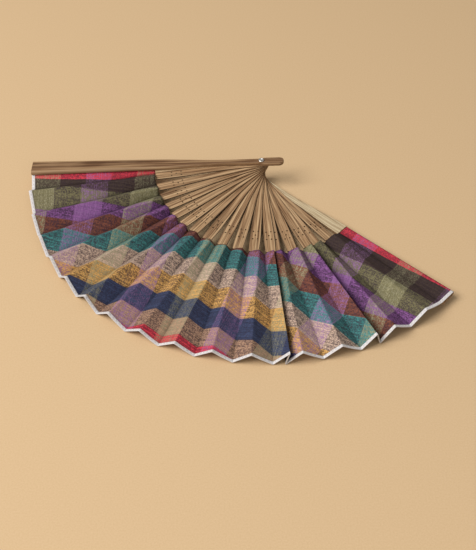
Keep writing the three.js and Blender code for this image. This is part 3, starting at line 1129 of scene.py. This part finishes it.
def part_of_rib(k, keep_far):
    """A rib's shape without its tongue, or the tongue alone."""
    bm = stick_mesh(member_name(k))
    bmesh.ops.bisect_plane(
        bm,
        geom=bm.verts[:] + bm.edges[:] + bm.faces[:],
        plane_co=on_member(k, LEAF_INNER - TONGUE_SHOWS, level(k)),
        plane_no=LEAN @ turned([[1.0, 0.0, 0.0]], ANGLES[k])[0],
        clear_inner=keep_far,
        clear_outer=not keep_far,
    )
    bmesh.ops.holes_fill(bm, edges=[e for e in bm.edges if e.is_boundary], sides=0)
    return bm


def stick_piece(name, bm, materials, bevel=None):
    """materials are the upper face's, and, where it differs, the sides' and under face's."""
    bmesh.ops.recalc_face_normals(bm, faces=bm.faces)
    bm.normal_update()
    for face in bm.faces:
        is_upper = face.normal.dot(Vector(AXIS)) > UPPER_FACING
        face.material_index = 0 if is_upper else len(materials) - 1
    mesh = bpy.data.meshes.new(name)
    bm.to_mesh(mesh)
    bm.free()
    made = link_piece(name, mesh, materials)
    mesh.set_sharp_from_angle(angle=math.radians(SHARP_ANGLE))
    if bevel:
        width, steps = bevel
        round_off = made.modifiers.new("edges", "BEVEL")
        round_off.width = width * MM
        round_off.segments = steps
        round_off.limit_method = "ANGLE"
        round_off.angle_limit = math.radians(SHARP_ANGLE)
        round_off.harden_normals = True
    return made


def rib(k, sides):
    """A rib's two pieces; its tongue is the one that the leaf rests on."""
    node = member_name(k)
    name = f"bamboo_{node}"
    upper = bamboo_material(name, ANGLES[k], RIB_SEED * k, RIB_LOOK, rib_half_width)
    blade = stick_piece(name + "_blade", part_of_rib(k, False), [upper, sides], RIB_BEVEL)
    tongue = stick_piece(name + "_tongue", part_of_rib(k, True), [upper])
    for made in (blade, tongue):
        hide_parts(node)
        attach(made, node)
    press_flat(tongue)
    return tongue


def guard(k, pale):
    node = member_name(k)
    name = f"bamboo_{node}"
    seed = GUARD_SEEDS[k]
    material = bamboo_material(name, ANGLES[k], seed, GUARD_LOOK, guard_half_width, pale)
    made = stick_piece(name, stick_mesh(node), [material], GUARD_BEVEL)
    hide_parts(node)
    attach(made, node)
    return made


# The ribs' sides and under faces take painted shade.
rib_sides_painted_shade = painted_shade_side_material()
under_leaf = {k: rib(k, rib_sides_painted_shade) for k in range(1, LAST)}
under_leaf[0] = guard(0, (UPPER_FACE + PALE_DEPTH, -1))
under_leaf[LAST] = guard(LAST, (LOWER_FACE - PALE_DEPTH, 1))


# The rivet: a hollow tube with a rolled flange, on a ring as its foot

BORE = 0.75
TUBE = 1.3
FLANGE = 2.35
FLANGE_SEAT = UPPER_FACE + GUARD_THICKNESS + SEAT_GAP
FLANGE_HEIGHT = 0.9
FLANGE_SIDE = 0.15
FLANGE_THROAT = 0.4
FLANGE_STEPS = 12
# Each pair is how far a point lies in from the rim, and how high above the seat or the table.
FLANGE_UNDER = [(0.06, 0.03), (0.2, 0.0)]
FOOT = 2.6
FOOT_ROUND = [(0.25, 0.0), (0.07, 0.1), (0.0, 0.3), (0.05, 0.6), (0.25, FOOT_HEIGHT)]
FOOT_CLEARANCE = 0.15
TURN_STEPS = 56
METAL_SHARP_ANGLE = 40.0


def lathe(name, profile, material):
    """A closed profile of (radius, height) turned about the fan's axis, as a piece of the rivet."""
    count = len(profile)
    points = []
    faces = []
    for i in range(TURN_STEPS):
        a = 2.0 * math.pi * i / TURN_STEPS
        points += [(r * math.cos(a), r * math.sin(a), z) for r, z in profile]
        j = (i + 1) % TURN_STEPS
        for p in range(count):
            q = (p + 1) % count
            faces.append((i * count + p, j * count + p, j * count + q, i * count + q))
    made = piece(name, to_row(points), faces, [material])
    made.data.set_sharp_from_angle(angle=math.radians(METAL_SHARP_ANGLE))
    return made


def eyelet_profile():
    """From the bore's lower end up, over the rolled flange and down the tube's outside."""
    profile = [(BORE, 0.0), (BORE, FLANGE_SEAT - FLANGE_THROAT)]
    middle = (FLANGE + BORE) / 2.0
    half = (FLANGE - BORE) / 2.0
    rise = FLANGE_HEIGHT - FLANGE_SIDE
    for i in range(1, FLANGE_STEPS + 1):
        a = math.pi * (1.0 - i / FLANGE_STEPS)
        height = FLANGE_SEAT + FLANGE_SIDE + rise * math.sin(a)
        profile.append((middle + half * math.cos(a), height))
    profile += [(FLANGE - inset, FLANGE_SEAT + height) for inset, height in FLANGE_UNDER]
    return profile + [(TUBE, FLANGE_SEAT), (TUBE, 0.0)]


metal = metal_material()
tube = lathe("rivet_eyelet", eyelet_profile()[::-1], metal)
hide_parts("rivet_tube")
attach(tube, "lower_guard")

foot_profile = [(TUBE + FOOT_CLEARANCE, 0.0)]
foot_profile += [(FOOT - inset, height) for inset, height in FOOT_ROUND]
foot_profile.append((TUBE + FOOT_CLEARANCE, FOOT_HEIGHT))
foot = lathe("rivet_foot_ring", foot_profile, metal)
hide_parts("rivet_foot")
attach(foot, "lower_guard")


# Each panel's width of cloth when it lies flat, worked out and left unused

for m, made in panels.items():
    k = m // 2
    if m % 2:
        # A fold takes what the panels beside it leave of the cloth between two members.
        width = 4.0 * HALF_WIDTHS - EDGES[k][1] - EDGES[k + 1][0]
        if k == 0:
            width = width - 2.0 * (1.0 - FIRST_FOLD_SHARE) * HALF_WIDTHS
    else:
        width = EDGES[k][0] + EDGES[k][1]


# Stage, light and camera: places and sizes in metres, apart from the camera's place

FLOOR_HALF = 3.0
FAN = Vector((0.0, 0.0, 0.0))
WORLD_COLOUR = (1.0, 0.98, 0.95, 1.0)
WORLD_STRENGTH = 0.22
KEY = {"place": (-1.5, -0.55, 2.05), "size": 1.55, "power": 67.0, "colour": (1.0, 0.98, 0.96)}
FILL = {"place": (0.5, -1.2, 1.2), "size": 1.0, "power": 3.0, "colour": (0.98, 0.99, 1.0)}
CAMERA_FROM_PIVOT = np.array([-20.803, -622.223, 573.368])
CAMERA_TILT = 42.06
CAMERA_LENS = 65.12
CAMERA_SENSOR = 36.0
CAMERA_CLIP = 0.01

floor = piece(
    "stage_floor",
    [
        (-FLOOR_HALF, -FLOOR_HALF, 0.0),
        (FLOOR_HALF, -FLOOR_HALF, 0.0),
        (FLOOR_HALF, FLOOR_HALF, 0.0),
        (-FLOOR_HALF, FLOOR_HALF, 0.0),
    ],
    [(0, 1, 2, 3)],
    [floor_material()],
    smooth=False,
)

scene = bpy.context.scene
scene.view_settings.view_transform = "Standard"
scene.world = bpy.data.worlds.new("studio")
scene.world.use_nodes = True
background = scene.world.node_tree.nodes["Background"]
background.inputs["Color"].default_value = WORLD_COLOUR
background.inputs["Strength"].default_value = WORLD_STRENGTH


def lamp(name, look):
    """A square soft box that points at the fan."""
    data = bpy.data.lights.new(name, "AREA")
    data.shape = "SQUARE"
    data.size = look["size"]
    data.energy = look["power"]
    data.color = look["colour"]
    made = bpy.data.objects.new(name, data)
    made.location = look["place"]
    aim = FAN - Vector(look["place"])
    made.rotation_euler = aim.to_track_quat("-Z", "Y").to_euler()
    scene.collection.objects.link(made)


lamp("key", KEY)
lamp("fill", FILL)

camera_data = bpy.data.cameras.new("camera")
camera_data.sensor_fit = "VERTICAL"
camera_data.sensor_height = CAMERA_SENSOR
camera_data.lens = CAMERA_LENS
camera_data.clip_start = CAMERA_CLIP
camera = bpy.data.objects.new("camera", camera_data)
camera.location = (PIVOT + CAMERA_FROM_PIVOT) * MM
camera.rotation_euler = (math.radians(CAMERA_TILT), 0.0, 0.0)
scene.collection.objects.link(camera)
scene.camera = camera

bpy.context.view_layer.update()
